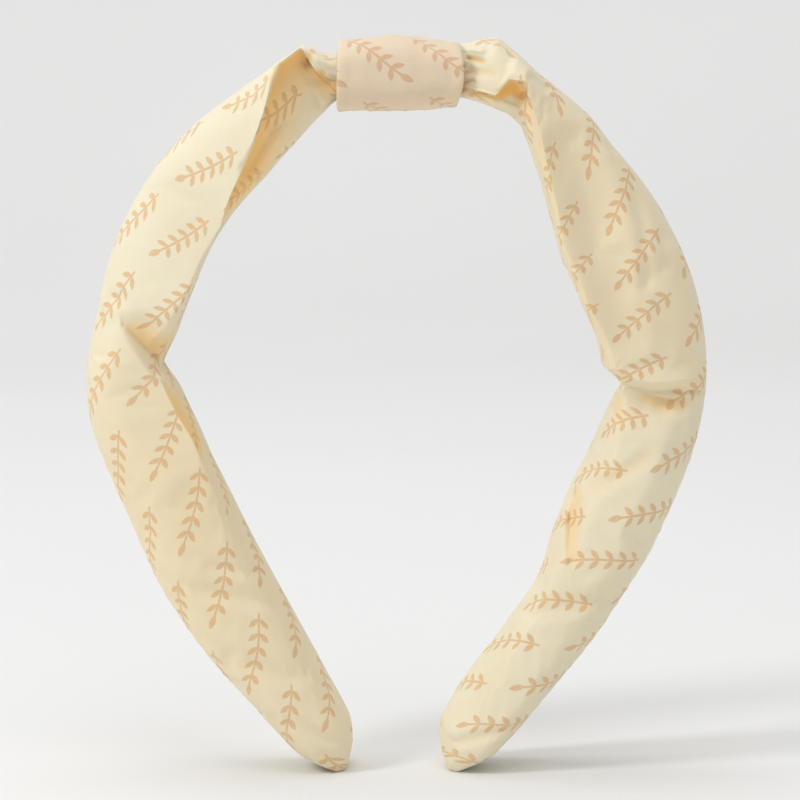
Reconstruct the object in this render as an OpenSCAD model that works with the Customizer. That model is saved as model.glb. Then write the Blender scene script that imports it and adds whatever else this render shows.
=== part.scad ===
// Knotted headband.
// A sprung hoop inside a loose cloth sleeve, gathered at the crown under a cloth wrap.
// Millimetres. X runs across the head, Y from front to back, Z up.
// The headband stands on its two tips at Z = 0, and the origin is below the crown.
// Each leg flexes about a line across the hoop just outside the wrap.

/* [Hoop] */
// Radius of the round upper part, at the middle of the core's thickness
hoop_r = 60; // [56:1:64]
// Angle from the crown to the start of the straight leg, in degrees
hoop_turn = 122; // [119:1:124]
// Length of the straight part of each core leg
leg_l = 67; // [62:1:70]
// Width of the core, front to back
core_w = 8; // [6:0.5:9]
// Thickness of the core
core_t = 1.8; // [1.4:0.1:2]
// Angle from the crown to the line about which a leg flexes, in degrees
flex_turn = 18; // [17.5:0.5:19]

/* [Padding] */
// Width of the wadding strip that wraps the core, front to back
pad_w = 13; // [11:0.5:13.5]
// Thickness of the wadding strip with the core inside it
pad_t = 6.4; // [5:0.2:6.6]

/* [Sleeve] */
// Thickness of the sleeve's cloth with its stiffening
cloth_t = 1; // [0.8:0.1:1.2]
// Length of sleeve past the end of the core
tip_l = 6.2; // [5.5:0.1:7]
// Distance from the flex line to a leg's sleeve, and to the gathered centre
flex_gap = 1.6; // [1.6:0.1:2]

/* [Wrap] */
// Length of the wrap along the crown
wrap_l = 28; // [26:1:29]
// Height of the wrap
wrap_h = 15.2; // [15:0.1:16]
// Depth of the wrap, front to back
wrap_d = 25; // [24.5:0.5:28]
// Thickness of the wrap's folded cloth
wrap_t = 1.2; // [1:0.1:1.3]

/* [Stitching] */
// Radius of the sewing thread
thread_r = 0.3; // [0.2:0.05:0.35]
// Length of one stitch
stitch_l = 3; // [2:0.5:3.5]
// Distance between the stitches of a leg's closing seam
stitch_pitch = 6; // [5:1:8]

/* [Hidden] */
$fn = 96;

core_colour = "white";
pad_colour = "whitesmoke";
cloth_colour = [0.93, 0.88, 0.75];
wrap_colour = [0.90, 0.83, 0.71];
thread_colour = [0.88, 0.80, 0.64];

ring_n = 12;       // points round a sleeve's ring
ring_step = 6;     // distance between rings along the hoop
squareness = 0.85; // 1 gives an ellipse, less gives fuller corners
flex_play = 0.1;   // clearance between the core's bead and its seat
foot_drop = 1;     // how far the tips would reach below the floor, before they are cut flat
slack = 0.2;       // room round the core in what wraps it
overshoot = 1;     // how far a cut runs past what it cuts
wrap_rise = 0.1;   // how far the wrap's middle stands above the core's
tip_t = 2.5 * cloth_t; // thickness of the closed tip, where the cloth is folded in
wound_h = 9.8;     // height of the gathers that the thread is wound round
wound_d = 18.8;    // depth of the same gathers

// Lengths along the hoop from the crown
arc_l = hoop_r * hoop_turn * PI / 180;
core_l = arc_l + leg_l;
sleeve_l = core_l + tip_l;
flex_l = hoop_r * flex_turn * PI / 180;
leg_start = flex_l + flex_gap;
centre_end = flex_l - flex_gap;
pad_start = 34;
pad_end = core_l - 8;

// The hoop's centre is as high as the tips need to reach the floor
hoop_z = -foot_drop - hoop_r * cos(hoop_turn) + (sleeve_l - arc_l) * sin(hoop_turn);
wrap_z = hoop_z + hoop_r + wrap_rise;

// What a sleeve's rings measure where its shape turns, with smooth curves between:
// [percent of the leg's length, reach outward, reach inward, half depth]
left_form = [
    [0, 8.5, 6, 10],
    [12, 6.5, 12.5, 15.5],
    [32, 6.5, 13.5, 17],
    [43, 8, 9, 16],
    [56, 9, 13.5, 17],
    [75, 12, 11, 14],
    [93, 6.5, 8, 13],
    [100, 2, 3, 11],
];
right_form = [
    [0, 10, 3.5, 10],
    [12, 5.5, 12, 15.5],
    [27, 6, 19.5, 17],
    [43, 8, 12, 16],
    [58, 9, 13, 17],
    [75, 11, 7.5, 14],
    [93, 6.5, 8.5, 13],
    [100, 2, 3, 11],
];
// The same for the gathered centre, by distance from the crown
centre_form = [
    [0, 4.6, 4.6, 9],
    [4, 4.6, 4.6, 9],
    [10, 6, 4.4, 10],
    [20, 7.5, 3.6, 9.5],
];

// Value of a form's row at x, on a smooth curve through its rows
function form_at(form, x) =
    let (
        last = len(form) - 1,
        i = max([for (j = [0:last - 1]) if (j == 0 || form[j][0] <= x) j]),
        here = form[i],
        next = form[i + 1],
        before = form[max(i - 1, 0)],
        after = form[min(i + 2, last)],
        width = next[0] - here[0],
        t = (x - here[0]) / width,
        slope_here = (next - before) * width / (next[0] - before[0]),
        slope_next = (after - here) * width / (after[0] - here[0])
    )
    here * (2 * t ^ 3 - 3 * t ^ 2 + 1) + slope_here * (t ^ 3 - 2 * t ^ 2 + t)
        + next * (3 * t ^ 2 - 2 * t ^ 3) + slope_next * (t ^ 3 - t ^ 2);

function leg_percent(l) = 100 * (l - leg_start) / (sleeve_l - leg_start);

// The hoop's centreline and its directions at a length from the crown, on the right side
function turn_at(l) = min(l / arc_l, 1) * hoop_turn;
function hoop_normal(l) = let (a = turn_at(l)) [sin(a), 0, cos(a)];
function hoop_along(l) = let (a = turn_at(l)) [cos(a), 0, -sin(a)];
function hoop_point(l) =
    [0, 0, hoop_z] + hoop_r * hoop_normal(l) + max(l - arc_l, 0) * hoop_along(l);

function fuller(v) = sign(v) * abs(v) ^ squareness;

// One ring of a sleeve, in the plane across the hoop, drawn in by inset
function ring(l, row, inset) =
    [for (i = [0:ring_n - 1])
        let (
            a = i * 360 / ring_n,
            reach = (cos(a) > 0 ? row[1] : row[2]) - inset
        )
        hoop_point(l) + reach * fuller(cos(a)) * hoop_normal(l)
            + [0, (row[3] - inset) * fuller(sin(a)), 0]
    ];

// A closed solid through a list of rings
module loft(rings) {
    last = len(rings) - 1;
    walls = [for (j = [0:last - 1]) for (i = [0:ring_n - 1])
        let (
            k = (i + 1) % ring_n,
            a = j * ring_n + i,
            b = j * ring_n + k,
            c = a + ring_n,
            d = b + ring_n
        )
        each [[a, b, d], [a, d, c]]
    ];
    near_cap = [for (i = [ring_n - 1:-1:0]) i];
    far_cap = [for (i = [0:ring_n - 1]) last * ring_n + i];
    polyhedron(
        points = [for (r = rings) each r],
        faces = concat([near_cap], walls, [far_cap])
    );
}

module leg_loft(form, from, to, inset) {
    steps = ceil((to - from) / ring_step);
    loft([for (j = [0:steps])
        let (l = from + (to - from) * j / steps)
        ring(l, form_at(form, leg_percent(l)), inset)
    ]);
}

module below_floor() {
    depth = 40;
    translate([0, 0, -depth / 2]) cube([4 * hoop_r, 4 * wrap_d, depth], center = true);
}

// A leg's sleeve: closed and flattened at the tip, open at the flex line
module cover(form) {
    color(cloth_colour) difference() {
        leg_loft(form, leg_start, sleeve_l, 0);
        leg_loft(form, leg_start - overshoot, sleeve_l - tip_t, cloth_t);
        below_floor();
    }
}

module left_cover() {
    mirror([1, 0, 0]) cover(left_form);
}

module right_cover() {
    cover(right_form);
}

// Sector of the hoop's plane, from one turn to another
module sector(from, to) {
    far = 2 * hoop_r;
    parts = 4;
    rim = [for (k = [0:parts])
        let (a = from + (to - from) * k / parts)
        far * [sin(a), cos(a)]
    ];
    polygon(concat([[0, 0]], rim));
}

// Round part of a strip that follows the hoop, between two lengths from the crown
module strip_arc(from, to, thick, width) {
    translate([0, 0, hoop_z]) rotate([90, 0, 0])
        linear_extrude(height = width, center = true)
            intersection() {
                difference() {
                    circle(r = hoop_r + thick / 2);
                    circle(r = hoop_r - thick / 2);
                }
                sector(from * hoop_turn / arc_l, to * hoop_turn / arc_l);
            }
}

// Straight part of a strip, which laps over the end of the round part
module strip_leg(to, thick, width) {
    lap = 1;
    skin = 0.01;
    translate(hoop_point(arc_l)) rotate([0, hoop_turn, 0])
        translate([-lap, -width / 2 - skin, -thick / 2 - skin])
            cube([lap + to - arc_l, width + 2 * skin, thick + 2 * skin]);
}

module strip(from, to, thick, width) {
    strip_arc(from, arc_l, thick, width);
    strip_leg(to, thick, width);
}

module flex_line(r, width) {
    translate(hoop_point(flex_l)) rotate([90, 0, 0])
        cylinder(r = r, h = width, center = true);
}

// Core of one leg, with a round end and a hollow seat at the flex line
module leg_core() {
    end_r = core_w / 2;
    color(core_colour) difference() {
        union() {
            strip(flex_l, core_l - end_r, core_t, core_w);
            translate(hoop_point(core_l - end_r)) rotate([0, hoop_turn, 0])
                cylinder(r = end_r, h = core_t, center = true);
        }
        flex_line(core_t + flex_play, core_w + 2 * overshoot);
    }
}

module left_core() {
    mirror([1, 0, 0]) leg_core();
}

module right_core() {
    leg_core();
}

// Core under the wrap, with a round bead along each flex line
module crown_core() {
    color(core_colour) union() {
        strip_arc(-flex_l, flex_l, core_t, core_w);
        flex_line(core_t, core_w);
        mirror([1, 0, 0]) flex_line(core_t, core_w);
    }
}

// Wadding strip that wraps one leg of the core
module leg_padding() {
    color(pad_colour) difference() {
        strip(pad_start, pad_end, pad_t, pad_w);
        strip(pad_start - overshoot, pad_end + overshoot, core_t + slack, core_w + slack);
    }
}

module left_padding() {
    mirror([1, 0, 0]) leg_padding();
}

module right_padding() {
    leg_padding();
}

// Middle of the sleeve, drawn tight round the core under the wrap
module gathered_centre() {
    rings_each_side = 7;
    bead_room = core_t + 2 * slack;
    color(cloth_colour) difference() {
        loft([for (j = [-rings_each_side:rings_each_side])
            let (l = centre_end * j / rings_each_side)
            side_ring(l)
        ]);
        strip_arc(-flex_l - overshoot, flex_l + overshoot, core_t + slack, core_w + slack);
        flex_line(bead_room, core_w + slack);
        mirror([1, 0, 0]) flex_line(bead_room, core_w + slack);
    }
}

// A ring of the gathered centre on either side of the crown
function side_ring(l) = ring(l, form_at(centre_form, abs(l)), 0);

module stadium(height, depth) {
    for (end = [-1, 1]) translate([end * (depth - height) / 2, 0]) circle(d = height);
    square([depth - height, height], center = true);
}

// Closed band in the plane across the crown, centred on the origin
module band(height, depth, thick, length) {
    rotate([90, 0, 90]) linear_extrude(height = length, center = true) difference() {
        stadium(height, depth);
        stadium(height - 2 * thick, depth - 2 * thick);
    }
}

// Turns of thread wound round the gathers
module gather_thread() {
    turns = 3;
    turn_pitch = 1.2;
    thread_d = 2 * thread_r;
    color(thread_colour) for (k = [0:turns - 1])
        translate([turn_pitch * (k - (turns - 1) / 2), 0, hoop_z + hoop_r])
            band(wound_h + 2 * thread_d, wound_d + 2 * thread_d, thread_d, thread_d);
}

// Folded cloth tube that hides the gathers
module knot_wrap() {
    color(wrap_colour) translate([0, 0, wrap_z]) band(wrap_h, wrap_d, wrap_t, wrap_l);
}

// Slip stitches that close the wrap on the side against the head
module wrap_stitches() {
    count = 6;
    pitch = wrap_l / (count + 0.5);
    color(thread_colour) for (k = [0:count - 1])
        translate([(k - (count - 1) / 2) * pitch, 0, wrap_z - wrap_h / 2])
            rotate([90, 0, 0])
                cylinder(r = thread_r, h = stitch_l, center = true);
}

// A stitch through a leg's inner side, turned about the line across the hoop
module stitch(form, l, direction) {
    reach = form_at(form, leg_percent(l))[2];
    translate(hoop_point(l) - reach * hoop_normal(l)) rotate([0, turn_at(l), 0])
        rotate(direction) cylinder(r = thread_r, h = stitch_l, center = true);
}

// Long closing seam of a leg's sleeve
module seam_stitches(form) {
    first = leg_start + 6;
    last = sleeve_l - 20;
    color(thread_colour) for (l = [first:stitch_pitch:last]) stitch(form, l, [0, 90, 0]);
}

module left_seam_stitches() {
    mirror([1, 0, 0]) seam_stitches(left_form);
}

module right_seam_stitches() {
    seam_stitches(right_form);
}

// Hand stitches that close a sleeve's end
module tip_stitches(form) {
    count = 4;
    pitch = 2.6;
    end_room = 3;
    color(thread_colour) for (k = [1:count])
        stitch(form, sleeve_l - end_room - pitch * k, [90, 0, 0]);
}

module left_tip_stitches() {
    mirror([1, 0, 0]) tip_stitches(left_form);
}

module right_tip_stitches() {
    tip_stitches(right_form);
}

crown_core();
left_core();
right_core();
left_padding();
right_padding();
gathered_centre();
gather_thread();
left_cover();
right_cover();
knot_wrap();
wrap_stitches();
left_seam_stitches();
right_seam_stitches();
left_tip_stitches();
right_tip_stitches();
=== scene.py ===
"""The looks of the knotted headband: cloth, stitching, floor, light and camera."""

import math

import bpy
import numpy as np
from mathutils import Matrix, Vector


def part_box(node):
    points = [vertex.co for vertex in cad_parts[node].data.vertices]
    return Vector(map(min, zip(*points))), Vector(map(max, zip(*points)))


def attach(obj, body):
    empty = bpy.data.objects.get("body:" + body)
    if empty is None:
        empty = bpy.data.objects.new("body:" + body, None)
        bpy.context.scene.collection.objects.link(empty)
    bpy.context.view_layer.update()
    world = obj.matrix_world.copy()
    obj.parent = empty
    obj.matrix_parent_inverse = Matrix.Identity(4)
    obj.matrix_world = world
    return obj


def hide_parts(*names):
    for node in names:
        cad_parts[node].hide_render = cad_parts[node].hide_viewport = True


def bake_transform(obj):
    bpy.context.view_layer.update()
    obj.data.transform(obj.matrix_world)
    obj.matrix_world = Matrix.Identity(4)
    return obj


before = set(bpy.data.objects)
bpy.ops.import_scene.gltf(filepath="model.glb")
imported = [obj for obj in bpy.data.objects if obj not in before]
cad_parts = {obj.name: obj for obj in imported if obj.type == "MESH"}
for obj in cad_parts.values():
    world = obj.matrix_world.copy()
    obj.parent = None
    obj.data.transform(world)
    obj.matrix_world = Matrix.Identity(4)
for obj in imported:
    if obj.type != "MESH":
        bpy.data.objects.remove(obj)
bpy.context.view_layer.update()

MM = 0.001

# ---------------------------------------------------------------- the hoop, in millimetres

HOOP_R = 60.0
HOOP_TURN = math.radians(122)
CORE_T = 1.8
ARC_L = HOOP_R * HOOP_TURN
LEG_L = 67.0
PAST_CORE = 6.2
SLEEVE_L = ARC_L + LEG_L + PAST_CORE
HOOP_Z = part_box("crown_core")[1].z / MM - CORE_T / 2 - HOOP_R
SIDES = {"left": -1, "right": 1}


def hoop(length, side):
    """Points and outward normals of the hoop at lengths from the crown."""
    length = np.asarray(length, float)
    turn = np.minimum(length / ARC_L, 1) * HOOP_TURN
    zero = np.zeros_like(turn)
    normal = np.stack([side * np.sin(turn), zero, np.cos(turn)], -1)
    along = np.stack([side * np.cos(turn), zero, -np.sin(turn)], -1)
    straight = np.maximum(length - ARC_L, 0)[..., None]
    point = HOOP_R * normal + straight * along + [0, 0, HOOP_Z]
    return point, normal


# ---------------------------------------------------------------- curves through chosen keys


def smooth_run(x, y, at):
    """A curve through the keys that never overshoots them."""
    gaps = np.diff(x)
    slopes = np.diff(y) / gaps
    tangent = np.zeros(len(x))
    tangent[0], tangent[-1] = slopes[0], slopes[-1]
    for i in range(1, len(x) - 1):
        if slopes[i - 1] * slopes[i] > 0:
            before, after = 2 * gaps[i] + gaps[i - 1], gaps[i] + 2 * gaps[i - 1]
            tangent[i] = (before + after) / (before / slopes[i - 1] + after / slopes[i])
    i = np.clip(np.searchsorted(x, at, side="right") - 1, 0, len(x) - 2)
    t = np.clip((at - x[i]) / gaps[i], 0, 1)
    return (
        y[i] * (2 * t**3 - 3 * t**2 + 1)
        + tangent[i] * gaps[i] * (t**3 - 2 * t**2 + t)
        + y[i + 1] * (3 * t**2 - 2 * t**3)
        + tangent[i + 1] * gaps[i] * (t**3 - t**2)
    )


def track(keys, at):
    """A value along the hoop from its keys: (length, value), or (length, value, True) at a corner."""
    at = np.asarray(at, float)
    cuts = [0] + [i for i, k in enumerate(keys) if len(k) > 2] + [len(keys) - 1]
    out = np.zeros_like(at)
    for first, last in zip(cuts[:-1], cuts[1:]):
        x = np.array([k[0] for k in keys[first : last + 1]], float)
        y = np.array([k[1] for k in keys[first : last + 1]], float)
        here = (at >= x[0]) | (first == 0)
        out[here] = smooth_run(x, y, at[here])
    return out


def ease(t):
    """A smooth rise from 0 to 1 as t goes from 0 to 1, and level outside that."""
    t = np.clip(t, 0, 1)
    return t * t * (3 - 2 * t)


def value_noise(x, y, seed):
    """Smooth noise from -1 to 1 over a plane, the same each run."""
    size = 64
    grid = np.random.default_rng(seed).uniform(-1, 1, (size, size))
    i, j = np.floor(x).astype(int), np.floor(y).astype(int)
    u, v = ease(x - i), ease(y - j)

    def corner(a, b):
        return grid[(i + a) % size, (j + b) % size]

    low = corner(0, 0) * (1 - u) + corner(1, 0) * u
    high = corner(0, 1) * (1 - u) + corner(1, 1) * u
    return low * (1 - v) + high * v


# ---------------------------------------------------------------- the sleeve's form
# Each list holds (length along the hoop, value in mm), and True marks a sharp corner.
# out and in are how far the sleeve reaches from the hoop's line, and front is its half depth.
# fold is the edge that runs down the front, step is how far the cloth behind it is set back,
# and sharp is how crisp it is. The next three paint light into the colour: how much warm glow is
# painted on the cloth behind the fold, for light caught there, how far in that reaches, and how much
# shade is painted on the rest of the front, where panels turn from the light. lean tilts the front:
# outwards above zero, inwards below.

FORMS = {
    "left": {
        "out": [
            (8, 4.5), (13, 5.3), (18.5, 9.1, True), (24, 7.5), (36, 6), (84, 6), (100, 8.3),
            (108, 9), (118, 8.7), (148, 12), (158, 11.7), (180, 8.3), (192, 5.9), (201, 2.2),
        ],
        "in": [
            (8, 4.2), (13, 3.7), (19, 6.1), (30, 10.5), (42, 13), (72, 13.8), (88, 12.1),
            (97.5, 8.8, True), (106, 12), (118, 13.3), (150, 10.8), (180, 8.9), (190, 8.2),
            (196, 6.6), (201, 3.2),
        ],
        "front": [
            (8, 8), (13, 8.5), (20, 12), (32, 15), (50, 16.5), (80, 16.5), (97, 15), (110, 16),
            (125, 16.5), (150, 14.8), (170, 13.5), (186, 12.8), (194, 12), (201, 10.5),
        ],
        "fold": [
            (8, -0.5), (13, -0.3), (17, 3.4, True), (18.5, 9.1, True), (22, 7.6), (25, 4.8),
            (31, -1.6), (40, -7.5), (50, -11), (58, -13), (75, -12.6), (97, -7.4), (103, -9),
            (110, -10.5), (120, -11.9), (127, -10.8), (150, -5), (201, 0),
        ],
        "step": [
            (8, 1), (13, 2), (18, 5.4), (24, 6.6), (31, 6.2), (40, 5), (50, 3), (60, 0.3),
            (100, 0.3), (105, 2.6), (118, 3), (127, 0), (201, 0),
        ],
        "sharp": [
            (8, 0.6), (13, 0.97), (50, 0.97), (62, 0.2), (100, 0.2), (104, 0.97), (119, 0.97),
            (128, 0), (201, 0),
        ],
        # Painted light: warm glow behind the fold, how far in it reaches, and painted shade on the panels
        "painted_glow": [
            (8, 0.5), (18, 1), (46, 0.9), (60, 0), (101, 0.2), (108, 0.8), (119, 0.9), (127, 0),
            (201, 0),
        ],
        "painted_glow_reach": [(8, 3), (16, 6), (30, 6), (40, 9), (110, 3), (201, 3)],
        "painted_shade_on_panels": [(8, 0), (60, 0.01), (88, 0.04), (104, 0.12), (122, 0.2), (180, 0.12), (201, 0.04)],
        "lean": [
            (8, 0), (18, 0.3), (32, 0.9), (60, 1), (86, 0.7), (100, -0.2), (118, -0.7), (140, -0.5),
            (180, -0.4), (201, 0),
        ],
    },
    "right": {
        "out": [
            (8, 4.5), (14, 8), (19, 10.6, True), (24, 9.1), (30, 7.4), (42, 6), (50, 4.8),
            (66, 5.5), (84, 7), (100, 8.3), (120, 9), (140, 11), (155, 10.8), (172, 9),
            (192, 5.8), (201, 2.2),
        ],
        "in": [
            (8, 4.2), (14, 3.1), (20, 3.1), (26, 3.2), (30.5, 4.2, True), (36, 8), (42, 11.5),
            (54, 16.5), (66, 19), (78, 18.6), (90, 16.4), (99, 14.8, True), (103, 10.2, True),
            (108, 11.4), (116, 12.3), (128, 12), (142, 9.9), (156, 6.8), (166, 7.3), (184, 8.7),
            (191, 8.4), (197, 6.4), (201, 2.8),
        ],
        "front": [
            (8, 8), (13, 8.5), (20, 12), (32, 15), (50, 16.5), (80, 16.5), (97, 15.5), (110, 15),
            (125, 16.5), (150, 14.8), (170, 13.5), (186, 12.8), (194, 12), (201, 10.5),
        ],
        "fold": [
            (8, -0.9), (15, -0.9), (22, -0.6, True), (23.4, 3.6, True), (26, 4.2, True),
            (30.3, 0.3), (36.4, -5.1), (48, -12.5), (62, -17), (76, -17), (90, -14), (99, -11.5),
            (115, -8), (201, 0),
        ],
        "step": [
            (8, 1), (15, 2.2), (22, 3), (24.5, 5), (26.6, 5), (30, 4), (37, 3), (48, 1.6), (60, 0.4),
            (90, 0.2), (201, 0),
        ],
        "sharp": [(8, 0.6), (14, 0.97), (40, 0.95), (60, 0.3), (110, 0), (201, 0)],
        # Painted light: warm glow behind the fold, how far in it reaches, and painted shade on the panels
        "painted_glow": [(8, 0.5), (20, 0.7), (27, 0.85), (31, 0.4), (36, 0.1), (44, 0), (201, 0)],
        "painted_glow_reach": [(8, 1.6), (201, 1.6)],
        "painted_shade_on_panels": [(8, 0.02), (24, 0.04), (36, 0.15), (98, 0.15), (106, 0.06), (124, 0.03), (201, 0.03)],
        "lean": [
            (8, 0), (23, 0.3), (32, 0.9), (60, 1.2), (96, 1.1), (106, -0.3), (122, -0.9), (180, -0.8),
            (201, 0),
        ],
    },
}

# Creases pressed into the front of a sleeve. Each holds its points as (length, reach outward,
# depth), where a depth below zero is a rise, then how wide it is to the left and to the right of
# that line, its kind, and how much warm glow is painted in it. A fan starts narrow and widens along its
# line.
CREASES = {
    "left": [
        ([(89, -1.2, 1.6), (93, -5, 4.8), (97.6, -9.4, 7.0)], 3.2, 17, "fan", 0.5),
        ([(12, -0.6, 1.0), (20, 1.5, 1.8), (27, -3.0, 1.2)], 2, 2.2, "soft", 0.2),
        ([(25, -4.5, 0.5), (31, -5.5, 2.0), (41, -9.5, 2.0)], 2.2, 2.2, "sharp", 0.5),
        ([(17.5, 6.5, 1.3), (20.5, 3.5, 1.6), (22.5, 1.0, 0.6)], 1.5, 1.8, "soft", 0.6),
        ([(15.5, 2.2, 1.2), (19, 3.6, 0.8)], 1.0, 1.2, "soft", 0.5),
        ([(84, 2, 0.6), (96, 6, 0.6)], 5, 5, "soft", 0),
        ([(101, 6, -0.8), (124, -3, -1.0)], 7, 7, "soft", 0),
        ([(150, 3, 0.5), (156, -4, 0.9), (161.5, -9.5, 0.5)], 3, 4.5, "soft", 0),
        ([(146, -2, 0.3), (152, -8.5, 0.6)], 2.5, 3, "soft", 0),
        ([(166, 6, 0.4), (176, -3, 0.5)], 4, 5, "soft", 0),
        ([(184, 2, 0.3), (193, -3, 0.9), (197, -5, 0.5)], 2, 2.5, "soft", 0),
    ],
    "right": [
        (
            [
                (100.5, -13.5, 3), (103.3, -9, 4.8), (103.6, -4.5, 5.8), (102.8, 1, 5.4),
                (101.8, 6, 0.8),
            ],
            2.2, 10, "sharp", 0,
        ),
        ([(104.6, -4, 0.5), (105, -1, 1.8), (104.6, 1.5, 0.8)], 1, 4.5, "soft", 0.4),
        ([(107, -11, 0.6), (112, -9.5, 0.9)], 2, 2, "soft", 0.3),
        ([(41, -3.5, 1.4), (66, -11.5, 2.0), (90, -11, 1.0)], 7, 7, "soft", 0),
        ([(50, 2, -0.8), (72, -2, -1.2)], 5, 5, "soft", 0),
        ([(60, 1.5, 0.7), (78, -4, 0.9)], 2.5, 3, "soft", 0),
        ([(134, -10.4, 2.0), (139.5, -8.2, 3.6), (145.5, -5, 0.8)], 3.0, 1.0, "sharp", 0.4),
        ([(112, 4, 0.5), (134, 5, 0.6)], 4, 4, "soft", 0),
        ([(118, -2, 0.4), (130, -8, 0.8)], 3, 3, "soft", 0.15),
        ([(150, 6, 0.4), (160, -5, 0.6)], 4, 5, "soft", 0),
        ([(13.6, 7.2, -1.3), (16.4, 7.6, -1.5)], 1.2, 1.2, "soft", 0),
        ([(14.4, 5.2, 1.6), (17.2, 5.4, 1.0)], 0.9, 0.9, "soft", 0.45),
        ([(15.5, 2.6, 0.5), (20, 3.6, 0.4)], 1.4, 1.4, "soft", 0.2),
        ([(23.2, 0, 0.6), (24.8, 2.4, 1.6), (26.8, 1.6, 1.0)], 1.8, 1.8, "soft", 1.0),
        ([(20, -2.2, -1.2), (27, -1.6, -1.4)], 1.4, 1.4, "soft", 0),
        ([(27.5, 6.2, 0.9), (31, 5.4, 0.6)], 1.2, 1.6, "soft", 0.1),
        ([(186, 3, 0.4), (194, -4, 1.0), (197, -4, 0.5)], 2, 2, "soft", 0.1),
    ],
}

SLEEVE_START = 8.0
TIP_ROUND = 11.0
LOWEST = 0.1
MOST_SETTLING = 1.2
WINDING_R = 0.28
STITCH_R = 0.26

# Rings lie closer where the cloth is folded tightly: (length, rings so far)
RING_COUNT = [
    (SLEEVE_START, 0), (34, 66), (94, 130), (108, 160), (193, 250), (199, 266), (SLEEVE_L, 276),
]

# A ring has RAIL_STEPS columns from each corner point to the next, so these are columns of a ring
RAIL_STEPS = 9
OUTER_COLUMN = 0
FOLD_COLUMN = 4 * RAIL_STEPS
VALLEY_COLUMN = 6 * RAIL_STEPS
INNER_COLUMN = 9 * RAIL_STEPS
SEAM_COLUMN = 86

# Where creases stop, short of the core: half its width, and the depth in front of it and beside it
CORE_BAND, BEFORE_CORE, BESIDE_CORE = 5, -7.4, -3

# The room that the core and the wadding need inside the sleeve: half its height and half its depth
ROOM_HIGH = [
    (8, 3.2), (30, 3.2), (38, 3.9), (96, 3.9), (103, 3.4), (112, 3.9), (190, 3.6), (201, 1),
]
ROOM_DEEP = [
    (8, 5.5), (30, 5.5), (38, 7.4), (96, 7.4), (103, 6.6), (112, 7.4), (190, 7), (201, 1),
]


def control_rings(form, at):
    """Corner points of the ring at each length, as (outward, depth). The front has a depth below 0.

    They start at the outermost point and go over the front to the innermost one, then round the
    back. The shares of the width and depth say how square the tube is.
    """
    out, inner, front = track(form["out"], at), track(form["in"], at), track(form["front"], at)
    fold = np.clip(track(form["fold"], at), -inner + 0.6, out - 0.4)
    step, sharp, lean = track(form["step"], at), track(form["sharp"], at), track(form["lean"], at)
    outwards, inwards = np.maximum(lean, 0), np.maximum(-lean, 0)
    fold_depth = (0.97 - 0.05 * inwards) * front
    panel = (0.92 - 0.3 * inwards) * front - 0.85 * step
    edge = np.stack([fold, -fold_depth], -1)
    valley = np.stack([np.maximum(fold + 0.25 * step, -inner + 0.8), step - fold_depth], -1)
    crown = np.stack([fold + 0.6 * (out - fold), -(1 - 0.28 * outwards) * front], -1)
    inside = np.stack([fold - 0.6 * (fold + inner), -panel], -1)
    valley = valley + (inside - valley) * (0.45 * (1 - sharp))[:, None]
    pull = (0.62 - 0.55 * sharp)[:, None]
    wide = out + inner
    rings = [
        np.stack([out, 0 * out], -1),
        np.stack([out - 0.06 * wide, -(0.62 - 0.2 * outwards + 0.12 * inwards) * front], -1),
        crown,
        edge + (crown - edge) * pull,
        edge,
        edge + (valley - edge) * pull,
        valley,
        inside,
        np.stack([-inner + 0.05 * wide, -0.55 * panel], -1),
        np.stack([-inner, 0 * out], -1),
        np.stack([-inner + 0.06 * wide, 0.6 * front], -1),
        np.stack([-inner + 0.32 * wide, 0.97 * front], -1),
        np.stack([-inner + 0.7 * wide, 0.97 * front], -1),
        np.stack([out - 0.07 * wide, 0.58 * front], -1),
    ]
    return np.stack(rings, 1), out, inner


def spline_ring(points, steps):
    """A closed smooth curve beside each ring of corner points."""
    count = points.shape[1]
    t = np.arange(steps) / steps
    weights = np.stack(
        [(1 - t) ** 3, 3 * t**3 - 6 * t**2 + 4, -3 * t**3 + 3 * t**2 + 3 * t + 1, t**3]
    ) / 6
    around = []
    for i in range(count):
        near = [points[:, (i + k - 1) % count] for k in range(4)]
        around.append(np.einsum("ks,krc->rsc", weights, np.stack(near)))
    return np.concatenate(around, 1)


def soften(ring, amount):
    """Rounds off the bends of each ring where amount is near 1, and keeps how deep and wide it is."""
    reach = 6
    steps = np.arange(-2 * reach, 2 * reach + 1)
    weights = np.exp(-((steps / reach) ** 2))
    smooth = sum(w * np.roll(ring, k, 1) for k, w in zip(steps, weights / weights.sum()))
    kept = (ring.max(1) - ring.min(1)) / (smooth.max(1) - smooth.min(1))
    return ring + amount[:, None, None] * (smooth * kept[:, None] - ring)


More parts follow.
